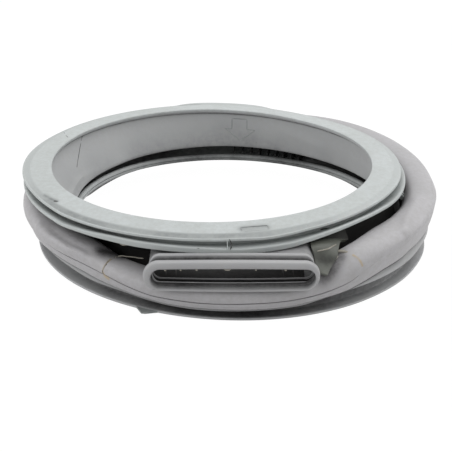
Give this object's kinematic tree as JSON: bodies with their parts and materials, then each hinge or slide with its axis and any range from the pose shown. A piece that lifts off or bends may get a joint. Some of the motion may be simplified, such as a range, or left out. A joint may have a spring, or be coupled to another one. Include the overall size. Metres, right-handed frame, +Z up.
{
  "type": "washing machine door seal",
  "caption": "Moulded grey rubber door seal ring: door-side clamping lip, sagging bellows tube, tub-side flange and a flat warm air inlet at the front.",
  "frame": {"origin": "on the ground under the middle of the box, inside the tub-side ring", "axes": "+Z up, from the tub side to the door side; the warm air inlet faces -Y; +X to the right"},
  "size_m": [0.399, 0.4078, 0.0798],
  "materials": {
    "seal_rubber": "satin moulded rubber"
  },
  "bodies": {
    "root": {"door_seal": "seal_rubber"}
  },
  "joints": []
}
